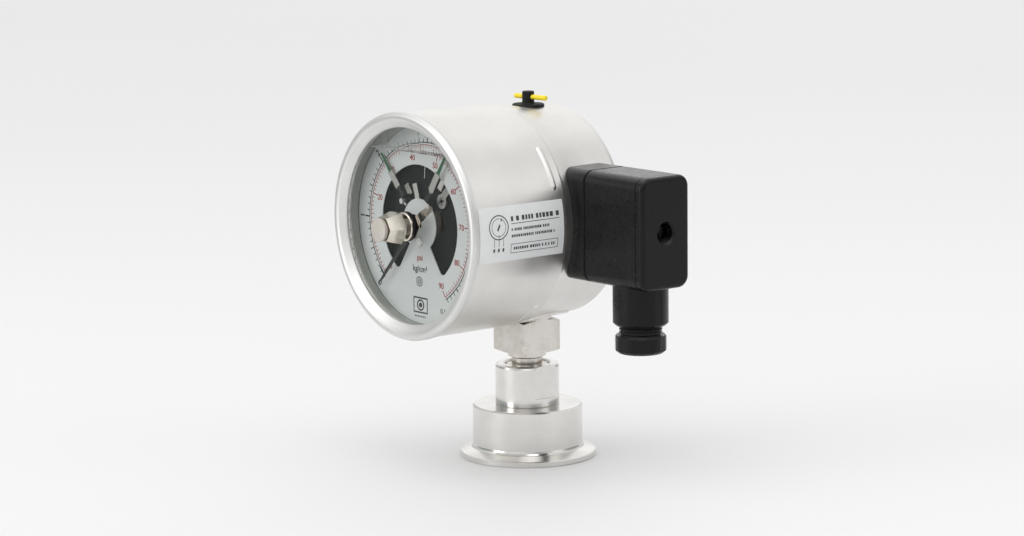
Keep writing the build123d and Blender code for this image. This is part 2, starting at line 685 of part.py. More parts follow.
def make_magnet_screw():
    """Adjusting screw of the low magnet with its round plastic head."""
    head = Pos(*clock(17.4, LOW_SET - 18)) * Circle(1.25)
    shank = bar(13.8, 17.4, 0.9, LOW_SET - 18)
    return slab(head, SLOT_LOW[0] - 0.4, SLOT_LOW[1] - 0.1) \
        + slab(shank, SLOT_LOW[0] - 0.6, SLOT_LOW[0] - 2.0)


def make_main_pointer():
    """Black pointer with a short tail, on the end of the shaft."""
    hub = ring(2.3, POINTER_BACK, POINTER_FRONT, ARBOR_R)
    arm = bar(0, 34.0, 1.5, POINTER_ZERO, wide_in=3.0) + bar(34.0, 41.0, 0.5, POINTER_ZERO, wide_in=1.5)
    tail = bar(0, 5.0, 2.2, POINTER_ZERO + 180) + pad(5.0, POINTER_ZERO + 180, 1.1)
    sheet = slab(arm + tail, POINTER_FRONT + 0.4, POINTER_FRONT) - ring(ARBOR_R, 0, -70)
    return hub + sheet


# ---- adjusting lock -----------------------------------------------------------------------
def make_lock_bush():
    """Flanged bush through the window."""
    return turned_y([
        (SPINDLE_R + SHEET_GAP, -72.2), (6.2, -72.2), (6.6, -71.8), (6.6, -71.2), (6.4, -71.0),
        (BUSH_R, -71.0), (BUSH_R, -65.2), (SPINDLE_R + SHEET_GAP, -65.2)])


def make_lock_gasket():
    return turned_y([
        (BUSH_R + SHEET_GAP, -71.0), (6.4, -71.0), (6.8, -70.6), (6.8, -69.3), (6.5, -69.0),
        (BUSH_R + SHEET_GAP, -69.0)])


def make_lock_nut():
    nut = slab(RegularPolygon(6.4, 6) - Circle(BUSH_R), -65.2, WINDOW_BACK)
    return nut & turned_y([(0, -67), (6.4, -67), (6.4, -65.5), (6.0, -65.2), (0, -65.2)])


def make_lock_knob():
    """Tapered hexagon grip with chamfered ends and a counterbore for the spring."""
    front = face_plane(KNOB_FRONT) * RegularPolygon(6.0, 6)
    back = face_plane(KNOB_BACK) * RegularPolygon(8.5, 6)
    grip = loft([front, back])
    grip &= turned_y([
        (0, KNOB_FRONT), (5.75, KNOB_FRONT), (6.05, KNOB_FRONT + 0.3), (8.25, -76.3),
        (5.9, KNOB_BACK), (0, KNOB_BACK)])
    grip -= ring(4.4, KNOB_BACK + 1, COUNTERBORE)
    return grip - ring(SPINDLE_R, 0, -90)


def make_lock_spindle():
    """Spindle with a fine-toothed end disc."""
    cap = turned_y([(0, -86.4), (5.0, -86.4), (5.35, -86.1), (5.35, -84.9), (5.05, -84.6), (0, -84.6)])
    notches = Sketch()
    for i in range(CAP_TEETH):
        notches += pad(5.45, i * 360 / CAP_TEETH, 0.22)
    cap -= slab(notches, -84, -87)
    return cap + turned_y([
        (0, -84.6), (3.2, -84.6), (3.2, KNOB_FRONT), (SPINDLE_R, KNOB_FRONT), (SPINDLE_R, DRIVER_BACK),
        (0, DRIVER_BACK)])


def make_thrust_washer():
    return ring(4.2, COUNTERBORE + 0.6, COUNTERBORE + 0.02, SPINDLE_R + SHEET_GAP)


def make_lock_spring():
    """Compression spring inside the knob."""
    wire = 0.3
    low = COUNTERBORE + 0.65 + wire
    high = -72.25 - wire
    path = Helix(pitch=(high - low) / 5, height=high - low, radius=3.3)
    section = Plane(path @ 0, z_dir=path % 0) * Circle(wire)
    spring = sweep(section, path=path)
    return Pos(0, low, AXIS_Z) * Rot(-90, 0, 0) * spring


def make_driver_arm():
    """Bent arm on the spindle; its finger catches the set pointers when pushed in."""
    flat = Circle(3.3) + bar(0, FINGER_R[1], 3.6, DRIVER_REST, wide_in=5.0)
    finger = bar(*FINGER_R, 1.2, DRIVER_REST)
    plate = slab(flat - Circle(SPINDLE_R), DRIVER_BACK, DRIVER_BACK - 0.7)
    return plate + slab(finger, FINGER_END, DRIVER_BACK - 0.7)


# ---- connector ----------------------------------------------------------------------------
def plug_section(inset=0.0):
    return RectangleRounded(PLUG_W - 2 * inset, PLUG_H - 2 * inset, PLUG_CORNER - inset)


def plug_block(low, high, inset=0.0):
    """Rounded block of the connector's outline between two X positions."""
    plane = Plane(origin=(low, 0, PLUG_Z), x_dir=(0, 1, 0), z_dir=(1, 0, 0))
    return extrude(plane * plug_section(inset), high - low)


def make_connector_base():
    """Base that saddles the rear cup and holds the contact blades."""
    base = plug_block(41.0, BASE_X)
    base = chamfer(base.faces().sort_by(Axis.X)[-1].edges(), 0.4)
    base -= cup_shape(0.02)
    base -= ring(DRUM_R + 0.8, STEP_Y + 0.3, -30)
    base -= turned_x([(0, 40), (9.5, 40), (9.5, BASE_X - 3.5), (0, BASE_X - 3.5)])
    base -= turned_x([(0, 40), (SCREW_SHANK + SHEET_GAP, 40), (SCREW_SHANK + SHEET_GAP, 70), (0, 70)])
    for y, z, turn in BLADES:
        base -= blade(y, z, turn, 0.0)
    return base


def blade(y, z, turn, grow):
    """Flat contact blade, in the connector's frame."""
    size = Box(16.0, 5.0 + 2 * grow, 0.9 + 2 * grow)
    return Pos(BASE_X + 4.5, y, PLUG_Z + z) * Rot(turn, 0, 0) * size


def make_contact_blades():
    return Compound([blade(y, z, turn, 0.0) for y, z, turn in BLADES])


def make_connector_gaskets():
    """Seals under and over the housing."""
    under = plug_block(BASE_X, HOUSING_X, 0.7) - plug_block(BASE_X - 1, HOUSING_X + 1, 3.2)
    low = COVER_X - COVER_GASKET
    over = plug_block(low, COVER_X, 0.5) - plug_block(low - 1, COVER_X + 1, 2.7)
    return Compound([under, over])


def make_connector_housing():
    """Hollow body with the gland neck and its outside thread."""
    body = plug_block(HOUSING_X, COVER_X - COVER_GASKET)
    body = chamfer(body.faces().sort_by(Axis.X)[0].edges(), 0.4)
    neck = turned_z([
        (0, PLUG_Z - 10), (GLAND_R, PLUG_Z - 10), (GLAND_R, GLAND_LOW + 1.2), (GLAND_R - 1.2, GLAND_LOW),
        (GLAND_THREAD_R - 0.9, GLAND_LOW)]
        + list(reversed(thread_outline(GLAND_THREAD_R, GLAND_THREAD_R - 0.9, GLAND_END, GLAND_LOW, 1.5)))
        + [(0, GLAND_END)], x=GLAND_X)
    keep = block((HOUSING_X, COVER_X - COVER_GASKET), (-14.0, 14.0), (GLAND_END - 1, PLUG_Z))
    body += neck & keep
    cavity = plug_block(HOUSING_X - 1, COVER_X, 2.6)
    body -= cavity
    body -= turned_z([
        (0, 100), (CABLE_R + 2, 100), (CABLE_R + 2, SEAL_HIGH), (GLAND_BORE, SEAL_HIGH),
        (GLAND_BORE, GLAND_END - 1), (0, GLAND_END - 1)], x=GLAND_X)
    return body


def make_connector_cover():
    """Front lid with a soft edge and the funnel for the retaining screw."""
    lid = plug_block(COVER_X, PLUG_X)
    lid = fillet(lid.faces().sort_by(Axis.X)[-1].edges(), 2.2)
    funnel = turned_x([
        (SCREW_SHANK + 0.3, HEAD_X - 1.2), (6.4, HEAD_X - 1.2), (6.4, COVER_X), (0, COVER_X),
        (0, HEAD_X - 1.2)])
    hole = turned_x([
        (0, PLUG_X + 1), (5.9, PLUG_X + 1), (5.3, PLUG_X), (4.5, PLUG_X - 1.0), (4.5, HEAD_X), (0, HEAD_X)])
    shank = turned_x([(0, 50), (SCREW_SHANK + 0.3, 50), (SCREW_SHANK + 0.3, 99), (0, 99)])
    return lid + funnel - hole - shank


def make_terminal_block():
    """Insert that receives the blades and clamps the wires."""
    low = HOUSING_X + 0.8
    insert = block((low, low + 15), (-11.2, 11.2), (PLUG_Z - 12.5, PLUG_Z + 12.5))
    insert = fillet(insert.edges().filter_by(Axis.X), 3.0)
    for y, z, turn in BLADES:
        insert -= blade(y, z, turn, 0.12)
    return insert - turned_x([(0, 50), (SCREW_SHANK + 0.3, 50), (SCREW_SHANK + 0.3, 99), (0, 99)])


def make_terminal_screws():
    """Cross-headed wire clamps on the insert's outer end."""
    face = HOUSING_X + 15.8
    screws = []
    for y, z, _ in BLADES:
        head = Pos(face + 0.9, y, PLUG_Z + z) * Rot(0, 90, 0) * Cylinder(2.0, 1.8)
        slot = Pos(face + 1.8, y, PLUG_Z + z) * Box(1.2, 0.6, 5)
        screws.append(head - slot)
    return Compound(screws)


def make_retaining_screw():
    """Central screw from the cover into the base."""
    end = BASE_X - 5.0
    screw = turned_x([
        (0, HEAD_X + 2.4), (3.4, HEAD_X + 2.4), (3.8, HEAD_X + 2.0), (3.8, HEAD_X + 0.02),
        (SCREW_SHANK, HEAD_X + 0.02), (SCREW_SHANK, end), (0, end)])
    return screw - Pos(HEAD_X + 2.4, 0, PLUG_Z) * Rot(20, 0, 0) * Box(2.0, 1.0, 9)


def make_gland_seal():
    return turned_z([
        (CABLE_R, WASHER_HIGH + 0.05), (GLAND_BORE - 0.1, WASHER_HIGH + 0.05), (GLAND_BORE - 0.1, SEAL_HIGH),
        (CABLE_R, SEAL_HIGH)], x=GLAND_X)


def make_gland_washer():
    return turned_z([
        (CABLE_R + 0.6, NUT_FLOOR + 0.05), (GLAND_BORE - 0.1, NUT_FLOOR + 0.05),
        (GLAND_BORE - 0.1, WASHER_HIGH), (CABLE_R + 0.6, WASHER_HIGH)], x=GLAND_X)


def make_gland_nut():
    """Faceted nut that closes the gland."""
    low = NUT_FLOOR - 1.6
    plane = Plane((GLAND_X, 0, low))
    nut = extrude(plane * RegularPolygon(12.0, NUT_SIDES), NUT_TOP - low)
    nut &= turned_z([
        (0, low), (10.2, low), (11.6, low + 1.2), (11.6, NUT_TOP - 0.7), (11.1, NUT_TOP),
        (0, NUT_TOP)], x=GLAND_X)
    bore = GLAND_THREAD_R + 0.08
    return nut - turned_z([
        (0, low - 1), (CABLE_R + 2.2, low - 1), (CABLE_R + 2.2, NUT_FLOOR), (bore, NUT_FLOOR),
        (bore, NUT_TOP + 1), (0, NUT_TOP + 1)], x=GLAND_X)


def make_contact_wires():
    """Leads from the contact base round the back to the blades, and a bare one in front."""
    wires = []
    for y, z, _ in BLADES[:3]:
        start = 0.45 * z
        route = [
            (30 + 0.3 * y, BASE_BACK + 0.2, AXIS_Z - 18 + start), (30 + 0.3 * y, y - 2, AXIS_Z - 18 + start),
            (42, y, PLUG_Z - 6 + 0.6 * z), (47.5, y, PLUG_Z + z), (BASE_X - 3.6, y, PLUG_Z + z)]
        path = FilletPolyline(*route, radius=1.6)
        wires.append(sweep(Plane(path @ 0, z_dir=path % 0) * Circle(0.7), path=path))
    route = []
    for radius, y in ((29.5, BASE_FRONT), (29.5, SLOT_LOW[1] + 0.8), (21.3, SLOT_LOW[1] + 0.8)):
        x, z = clock(radius, 6)
        route.append((x, y, AXIS_Z + z))
    path = FilletPolyline(*route, radius=0.8)
    wires.append(sweep(Plane(path @ 0, z_dir=path % 0) * Circle(0.2), path=path))
    return Compound(wires)


PARTS = {
    "seal_body": make_seal_body,
    "diaphragm": make_diaphragm,
    "seal_adapter": make_seal_adapter,
    "stem_gasket": make_stem_gasket,
    "socket_block": make_socket_block,
    "saddle_plate": make_saddle_plate,
    "case_rear_cup": make_case_rear_cup,
    "case_drum": make_case_drum,
    "bezel_ring": make_bezel_ring,
    "window_pane": make_window_pane,
    "window_gasket": make_window_gasket,
    "spacer_ring": make_spacer_ring,
    "dial_plate": make_dial_plate,
    "dial_screw": make_dial_screw,
    "label_plate": make_label_plate,
    "vent_plug": make_vent_plug,
    "vent_pin": make_vent_pin,
    "bourdon_tube": make_bourdon_tube,
    "tube_tip": make_tube_tip,
    "tip_link": make_tip_link,
    "mounting_plate": make_mounting_plate,
    "movement_back_plate": make_movement_back_plate,
    "movement_front_plate": make_movement_front_plate,
    "movement_pillars": make_movement_pillars,
    "movement_screws": make_movement_screws,
    "sector_gear": make_sector_gear,
    "pinion_arbor": make_pinion_arbor,
    "hairspring": make_hairspring,
    "contact_base_plate": make_contact_base_plate,
    "base_posts": make_base_posts,
    "high_carrier": make_high_carrier,
    "set_pointer_high": make_set_pointer_high,
    "high_contact_arm": make_high_contact_arm,
    "high_magnet": make_high_magnet,
    "low_carrier": make_low_carrier,
    "set_pointer_low": make_set_pointer_low,
    "low_contact_arm": make_low_contact_arm,
    "low_magnet": make_low_magnet,
    "magnet_screw": make_magnet_screw,
    "main_pointer": make_main_pointer,
    "lock_bush": make_lock_bush,
    "lock_gasket": make_lock_gasket,
    "lock_nut": make_lock_nut,
    "lock_knob": make_lock_knob,
    "lock_spindle": make_lock_spindle,
    "thrust_washer": make_thrust_washer,
    "lock_spring": make_lock_spring,
    "driver_arm": make_driver_arm,
    "connector_base": make_connector_base,
    "contact_blades": make_contact_blades,
    "connector_gaskets": make_connector_gaskets,
    "connector_housing": make_connector_housing,
    "connector_cover": make_connector_cover,
    "terminal_block": make_terminal_block,
    "terminal_screws": make_terminal_screws,
    "contact_wires": make_contact_wires,
    "gland_seal": make_gland_seal,
    "gland_washer": make_gland_washer,
    "gland_nut": make_gland_nut,
    "retaining_screw": make_retaining_screw,
}

os.makedirs("parts", exist_ok=True)
for name, make in PARTS.items():
    export_step(make(), f"parts/{name}.step")
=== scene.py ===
import math
import random

import bpy
from mathutils import Matrix, Vector


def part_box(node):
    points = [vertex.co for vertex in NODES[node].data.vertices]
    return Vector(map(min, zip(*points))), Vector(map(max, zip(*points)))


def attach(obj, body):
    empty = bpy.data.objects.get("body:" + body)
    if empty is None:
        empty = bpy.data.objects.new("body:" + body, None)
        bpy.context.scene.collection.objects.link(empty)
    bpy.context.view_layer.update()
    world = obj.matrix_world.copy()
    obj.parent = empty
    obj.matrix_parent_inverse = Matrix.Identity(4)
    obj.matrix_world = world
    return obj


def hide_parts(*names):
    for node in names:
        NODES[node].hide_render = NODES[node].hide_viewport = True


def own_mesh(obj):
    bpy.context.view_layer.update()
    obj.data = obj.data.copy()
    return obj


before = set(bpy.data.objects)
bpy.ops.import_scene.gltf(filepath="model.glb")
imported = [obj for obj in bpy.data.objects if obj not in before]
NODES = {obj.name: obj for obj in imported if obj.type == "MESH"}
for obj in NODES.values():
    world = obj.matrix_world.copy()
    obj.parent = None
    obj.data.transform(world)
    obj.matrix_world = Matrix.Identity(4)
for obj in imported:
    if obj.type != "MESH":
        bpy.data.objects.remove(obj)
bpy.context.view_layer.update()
MM = 0.001

# ---- places taken from the frame ------------------------------------------------------------
AXIS_Z = sum(corner.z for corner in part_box("bezel_ring")) / 2
DIAL_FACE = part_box("dial_plate")[0].y
WINDOW_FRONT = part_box("window_pane")[0].y
WINDOW_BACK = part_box("window_pane")[1].y
BASE_FACE = -47.6 * MM  # front of the contact base plate behind the dial
LABEL_LOW, LABEL_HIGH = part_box("label_plate")

# ---- camera ---------------------------------------------------------------------------------
AZIMUTH = math.radians(50.58)
ELEVATION = math.radians(9.34)
ROLL = math.radians(-0.62)
DISTANCE = 1.55836
TARGET = Vector((-0.00417, -0.00508, 0.08860))
LENS = 117.33
SENSOR_WIDTH = 36


def make_camera():
    data = bpy.data.cameras.new("camera")
    data.lens = LENS
    data.sensor_width = SENSOR_WIDTH
    camera = bpy.data.objects.new("camera", data)
    bpy.context.scene.collection.objects.link(camera)
    back = Vector((
        math.sin(AZIMUTH) * math.cos(ELEVATION),
        -math.cos(AZIMUTH) * math.cos(ELEVATION),
        math.sin(ELEVATION)))
    right = Vector((math.cos(AZIMUTH), math.sin(AZIMUTH), 0))
    up = back.cross(right)
    turned = right * math.cos(ROLL) + up * math.sin(ROLL)
    up = back.cross(turned)
    matrix = Matrix((turned, up, back)).transposed().to_4x4()
    matrix.translation = TARGET + back * DISTANCE
    camera.matrix_world = matrix
    bpy.context.scene.camera = camera


# ---- light ----------------------------------------------------------------------------------
def direction(azimuth, elevation):
    """Unit vector towards a place in the room; azimuth as for the camera."""
    a, e = math.radians(azimuth), math.radians(elevation)
    return (math.sin(a) * math.cos(e), -math.cos(a) * math.cos(e), math.sin(e))


# (azimuth, elevation, angular size, softness, change of brightness)
ROOM_PATCHES = (
    (20, 60, 42, 20, 0.50),
    (120, 30, 22, 14, 0.12),
    (-140, 38, 32, 22, 0.25),
    (-35, 18, 22, 12, 0.25),
    (75, 8, 13, 9, -0.20),
    (10, 5, 10, 8, -0.20),
    (160, 10, 22, 12, -0.18),
    (230, 11, 20, 14, 0.25),
)


def make_world():
    world = bpy.data.worlds.new("studio")
    bpy.context.scene.world = world
    world.use_nodes = True
    tree = world.node_tree
    tree.nodes.clear()
    link = tree.links.new
    coords = tree.nodes.new("ShaderNodeTexCoord")
    split = tree.nodes.new("ShaderNodeSeparateXYZ")
    link(coords.outputs["Generated"], split.inputs[0])
    height = tree.nodes.new("ShaderNodeMapRange")
    height.inputs["From Min"].default_value = -0.15
    height.inputs["From Max"].default_value = 0.9
    height.inputs["To Min"].default_value = 0.40
    height.inputs["To Max"].default_value = 0.90
    link(split.outputs["Z"], height.inputs["Value"])
    value = height.outputs["Result"]
    for azimuth, elevation, size, soft, change in ROOM_PATCHES:
        dot = tree.nodes.new("ShaderNodeVectorMath")
        dot.operation = "DOT_PRODUCT"
        link(coords.outputs["Generated"], dot.inputs[0])
        dot.inputs[1].default_value = direction(azimuth, elevation)
        patch = tree.nodes.new("ShaderNodeMapRange")
        patch.interpolation_type = "SMOOTHSTEP"
        patch.inputs["From Min"].default_value = math.cos(math.radians(size + soft / 2))
        patch.inputs["From Max"].default_value = math.cos(math.radians(max(size - soft / 2, 0.5)))
        patch.inputs["To Min"].default_value = 0.0
        patch.inputs["To Max"].default_value = change
        link(dot.outputs["Value"], patch.inputs["Value"])
        add = tree.nodes.new("ShaderNodeMath")
        add.operation = "ADD"
        link(value, add.inputs[0])
        link(patch.outputs["Result"], add.inputs[1])
        value = add.outputs[0]
    room = tree.nodes.new("ShaderNodeBackground")
    link(value, room.inputs["Color"])
    plain = tree.nodes.new("ShaderNodeBackground")
    plain.inputs["Color"].default_value = (0.84, 0.84, 0.85, 1)
    path = tree.nodes.new("ShaderNodeLightPath")
    mix = tree.nodes.new("ShaderNodeMixShader")
    link(path.outputs["Is Camera Ray"], mix.inputs[0])
    link(room.outputs[0], mix.inputs[1])
    link(plain.outputs[0], mix.inputs[2])
    out = tree.nodes.new("ShaderNodeOutputWorld")
    link(mix.outputs[0], out.inputs["Surface"])


def area_light(name, azimuth, elevation, distance, size, power):
    data = bpy.data.lights.new(name, "AREA")
    data.shape = "RECTANGLE"
    data.size, data.size_y = size
    data.energy = power
    lamp = bpy.data.objects.new(name, data)
    bpy.context.scene.collection.objects.link(lamp)
    away = Vector(direction(azimuth, elevation))
    lamp.location = Vector((0, 0, 0.09)) + away * distance
    lamp.rotation_euler = away.to_track_quat("Z", "Y").to_euler()


# (name, azimuth, elevation, distance, size, power)
SOFT_BOXES = (
    ("top_box", 30, 72, 1.6, (1.5, 1.2), 3.4),
    ("left_box", -18, 14, 1.7, (0.9, 1.2), 6.6),
    ("right_box", 118, 28, 1.8, (0.9, 1.2), 1.6),
)


def make_lights():
    for name, azimuth, elevation, distance, size, power in SOFT_BOXES:
        area_light(name, azimuth, elevation, distance, size, power)


# The card: azimuth and elevation seen from the window, then distance, half size and brightness.
CARD_TOWARDS = (-50.6, -9.3)
CARD_DISTANCE = 0.45
CARD_HALF_WIDE = 0.20
CARD_HALF_HIGH = 0.16
CARD_BRIGHTNESS = 0.36


def make_dark_card():
    """Card beside the object that only mirrors and glass see; it keeps the window clear."""
    away = Vector(direction(*CARD_TOWARDS))
    centre = Vector((0, WINDOW_BACK, AXIS_Z)) + away * CARD_DISTANCE
    wide = Vector((away.y, -away.x, 0)).normalized() * CARD_HALF_WIDE
    high = Vector((0, 0, CARD_HALF_HIGH))
    mesh = bpy.data.meshes.new("dark_card")
    corners = [centre + wide * i + high * k for i, k in ((-1, -1), (1, -1), (1, 1), (-1, 1))]
    mesh.from_pydata(corners, [], [(0, 1, 2, 3)])
    card = bpy.data.objects.new("dark_card", mesh)
    bpy.context.scene.collection.objects.link(card)
    f = Finish("card_grey", (0, 0, 0), rough=1.0, Specular_IOR_Level=0.0,
               Emission_Color=(0.9, 1.0, 0.97, 1), Emission_Strength=CARD_BRIGHTNESS)
    mesh.materials.append(f.mat)
    for ray in ("camera", "diffuse", "transmission", "volume_scatter", "shadow"):
        setattr(card, "visible_" + ray, False)


# ---- materials ------------------------------------------------------------------------------
class Finish:
    """A Principled material with helpers for procedural detail in the part's own coordinates."""

    def __init__(self, name, color, rough=0.5, metal=0.0, **sockets):
        self.mat = bpy.data.materials.new(name)
        self.mat.use_nodes = True
        self.tree = self.mat.node_tree
        self.shader = self.tree.nodes["Principled BSDF"]
        self.color = color
        self.rough = rough
        self.shader.inputs["Base Color"].default_value = (*color, 1)
        self.shader.inputs["Roughness"].default_value = rough
        self.shader.inputs["Metallic"].default_value = metal
        for key, value in sockets.items():
            self.shader.inputs[key.replace("_", " ")].default_value = value
        self.coords = self.tree.nodes.new("ShaderNodeTexCoord").outputs["Object"]
        self.height = None

    def link(self, a, b):
        self.tree.links.new(a, b)

    def place(self, scale, origin=(0, 0, 0)):
        node = self.tree.nodes.new("ShaderNodeMapping")
        node.inputs["Scale"].default_value = scale
        node.inputs["Location"].default_value = [-o * s for o, s in zip(origin, scale)]
        self.link(self.coords, node.inputs["Vector"])
        return node.outputs["Vector"]

    def noise(self, scale, detail=3.0, rough=0.5, stretch=(1, 1, 1)):
        node = self.tree.nodes.new("ShaderNodeTexNoise")
        node.inputs["Scale"].default_value = scale
        node.inputs["Detail"].default_value = detail
        node.inputs["Roughness"].default_value = rough
        self.link(self.place(stretch), node.inputs["Vector"])
        return node.outputs["Fac"]

    def around(self, axis):
        """Both coordinates across a turned part's axis, the distance from it, and the place along it."""
        split = self.tree.nodes.new("ShaderNodeSeparateXYZ")
        origin = (0, 0, AXIS_Z) if axis == "Y" else (0, 0, 0)
        self.link(self.place((1, 1, 1), origin), split.inputs[0])
        u, v = (split.outputs[name] for name in {"X": "YZ", "Y": "XZ", "Z": "XY"}[axis])
        flat = self.tree.nodes.new("ShaderNodeCombineXYZ")
        self.link(u, flat.inputs["X"])
        self.link(v, flat.inputs["Y"])
        length = self.tree.nodes.new("ShaderNodeVectorMath")
        length.operation = "LENGTH"
        self.link(flat.outputs[0], length.inputs[0])
        return u, v, length.outputs["Value"], split.outputs[axis]

    def polar_noise(self, axis, scale_along, scale_round, detail=2.0):
        """Noise in coordinates (radius, along) of a turned part; the rings stay closed."""
        u, v, distance, along = self.around(axis)
        place = self.tree.nodes.new("ShaderNodeCombineXYZ")
        self.link(self.math("MULTIPLY", distance, scale_along), place.inputs["X"])
        self.link(self.math("MULTIPLY", along, scale_along), place.inputs["Y"])
        angle = self.tree.nodes.new("ShaderNodeMath")
        angle.operation = "ARCTAN2"
        self.link(u, angle.inputs[0])
        self.link(v, angle.inputs[1])
        self.link(self.math("MULTIPLY", angle.outputs[0], scale_round), place.inputs["Z"])
        node = self.tree.nodes.new("ShaderNodeTexNoise")
        node.inputs["Scale"].default_value = 1.0
        node.inputs["Detail"].default_value = detail
        self.link(place.outputs[0], node.inputs["Vector"])
        return node.outputs["Fac"]

    def math(self, operation, a, b):
        node = self.tree.nodes.new("ShaderNodeMath")
        node.operation = operation
        for socket, value in zip(node.inputs, (a, b)):
            if isinstance(value, (int, float)):
                socket.default_value = value
            else:
                self.link(value, socket)
        return node.outputs[0]

    def spread(self, factor, low, high, start=0.35, end=0.65):
        node = self.tree.nodes.new("ShaderNodeMapRange")
        node.inputs["From Min"].default_value = start
        node.inputs["From Max"].default_value = end
        node.inputs["To Min"].default_value = low
        node.inputs["To Max"].default_value = high
        self.link(factor, node.inputs["Value"])
        return node.outputs["Result"]

    def vary_rough(self, factor, amount):
        self.link(self.spread(factor, self.rough - amount, self.rough + amount),
                  self.shader.inputs["Roughness"])
        return self

    def vary_color(self, factor, other, start=0.35, end=0.65):
        mix = self.tree.nodes.new("ShaderNodeMix")
        mix.data_type = "RGBA"
        colors = [s for s in mix.inputs if s.type == "RGBA"]
        result = [s for s in mix.outputs if s.type == "RGBA"][0]
        if self.shader.inputs["Base Color"].is_linked:
            self.link(self.shader.inputs["Base Color"].links[0].from_socket, colors[0])
        else:
            colors[0].default_value = (*self.color, 1)
        colors[1].default_value = (*other, 1)
        self.link(self.spread(factor, 0, 1, start, end), mix.inputs[0])
        self.link(result, self.shader.inputs["Base Color"])
        return self

    def bump(self, factor, distance, strength=0.5):
        node = self.tree.nodes.new("ShaderNodeBump")
        node.inputs["Strength"].default_value = strength
        node.inputs["Distance"].default_value = distance
        self.link(factor, node.inputs["Height"])
        if self.height is not None:
            self.link(self.height, node.inputs["Normal"])
        self.height = node.outputs["Normal"]
        self.link(self.height, self.shader.inputs["Normal"])
        return self

    def radius_y(self):
        """Distance from the dial axis."""
        return self.around("Y")[2]


def satin_case(name, color, rough):
    f = Finish(name, color, rough=rough, metal=1.0)
    f.vary_rough(f.noise(70, 4, 0.6), 0.03)
    f.vary_color(f.noise(38, 4, 0.6), tuple(c * 0.93 for c in color))
    f.bump(f.polar_noise("Y", 2600, 2.0), 0.00002, 0.12)
    f.bump(f.noise(1500, 2), 0.00002, 0.15)
    return f.mat


def turned_steel(name, color, rough):
    f = Finish(name, color, rough=rough, metal=1.0)
    f.vary_rough(f.polar_noise("Z", 900, 0.8), 0.05)
    f.vary_color(f.noise(60, 4, 0.6), tuple(c * 0.9 for c in color))
    f.bump(f.polar_noise("Z", 4200, 0.6), 0.00003, 0.35)
    return f.mat


def plain_metal(name, color, rough, grain=400):
    f = Finish(name, color, rough=rough, metal=1.0)
    f.vary_rough(f.noise(grain, 3), 0.07)
    f.vary_color(f.noise(grain / 6, 4), tuple(c * 0.82 for c in color))
    f.bump(f.noise(grain * 6, 2, 0.6, (1, 0.15, 1)), 0.00002, 0.3)
    return f.mat


def dusty_plastic():
    """Black moulding; upward faces are painted paler, a painted highlight standing in for the light the tops
    catch.
    """
    f = Finish("black_plastic", (0.004, 0.004, 0.0043), rough=0.26, Specular_IOR_Level=0.22)
    f.vary_rough(f.noise(325, 3), 0.05)
    split = f.tree.nodes.new("ShaderNodeSeparateXYZ")
    normal = f.tree.nodes.new("ShaderNodeTexCoord").outputs["Normal"]
    f.link(normal, split.inputs[0])
    # painted highlight: faces that point up get a paler base colour in place of the light falling on the
    # tops
    f.vary_color(split.outputs["Z"], (0.055, 0.055, 0.057), 0.55, 1.0)
    f.bump(f.noise(2600, 3, 0.6), 0.00003, 0.5)
    return f.mat


def moulded(name, color, rough, grain=2600, depth=0.00006, lift=1.35, **sockets):
    f = Finish(name, color, rough=rough, **sockets)
    f.vary_rough(f.noise(grain / 8, 3), 0.05)
    f.vary_color(f.noise(120, 4, 0.6), tuple(min(1, c * lift) for c in color))
    f.bump(f.noise(grain, 3, 0.6), depth, 0.5)
    return f.mat


def painted_dial():
    f = Finish("dial_paint", (0.83, 0.865, 0.86), rough=0.5, Specular_IOR_Level=0.2)
    f.vary_color(f.noise(30, 3), (0.86, 0.89, 0.885))
    f.bump(f.noise(3000, 2), 0.00001, 0.3)
    return f.mat


def block_steel():
    f = Finish("block_steel", (0.72, 0.69, 0.65), rough=0.3, metal=1.0)
    f.vary_rough(f.noise(90, 3), 0.04)
    f.vary_color(f.noise(75, 5, 0.65), (0.55, 0.50, 0.44), 0.42, 0.68)
    f.bump(f.noise(900, 3, 0.6, (0.12, 1, 1)), 0.00002, 0.2)
    return f.mat


def ring_paint():
    """Grey-green ring with painted shade: a dark line beside the dial stands in for the shadow in the gap.
    """
    f = Finish("ring_grey", (0.36, 0.375, 0.345), rough=0.45)
    f.vary_color(f.noise(60, 4, 0.6, (1, 12, 1)), (0.44, 0.455, 0.42))
    split = f.tree.nodes.new("ShaderNodeSeparateXYZ")
    f.link(f.coords, split.inputs[0])
    # painted shade: the ring's last 0.8 mm before the dial is darkened as the shadow in the gap between ring
    # and dial
    f.vary_color(split.outputs["Y"], (0.05, 0.055, 0.05), DIAL_FACE - 1.0 * MM, DIAL_FACE - 0.8 * MM)
    f.bump(f.noise(1500, 2), 0.00002, 0.3)
    return f.mat


def label_film():
    f = Finish("label_film", (0.80, 0.81, 0.81), rough=0.32)
    f.vary_color(f.noise(90, 3), (0.76, 0.77, 0.775))
    f.bump(f.noise(1400, 2), 0.00002, 0.25)
    return f.mat


def window_glass():
    """Thin clear look; the liquid behind it does the refracting."""
    f = Finish("window_glass", (0.02, 0.025, 0.022), rough=0.04, Alpha=0.07)
    f.vary_color(f.noise(40, 2), (0.03, 0.035, 0.032))
    f.bump(f.noise(25, 2), 0.00005, 0.1)
    return f.mat


def glycerine():
    return Finish("glycerine", (0.99, 1.0, 0.99), rough=0.0, Transmission_Weight=1.0, IOR=1.47).mat


def pointer_paint(name, bare_from):
    """Black neck, bare middle and green outer half, by distance from the dial axis."""
    f = Finish(name, (0.012, 0.012, 0.013), rough=0.42)
    radius = f.radius_y()
    f.vary_color(radius, (0.48, 0.47, 0.44), bare_from * MM, (bare_from + 0.3) * MM)
    f.vary_color(radius, (0.018, 0.135, 0.05), 29.6 * MM, 30.0 * MM)
    f.vary_rough(f.noise(700, 3), 0.08)
    f.bump(f.noise(2500, 2), 0.00002, 0.4)
    return f.mat


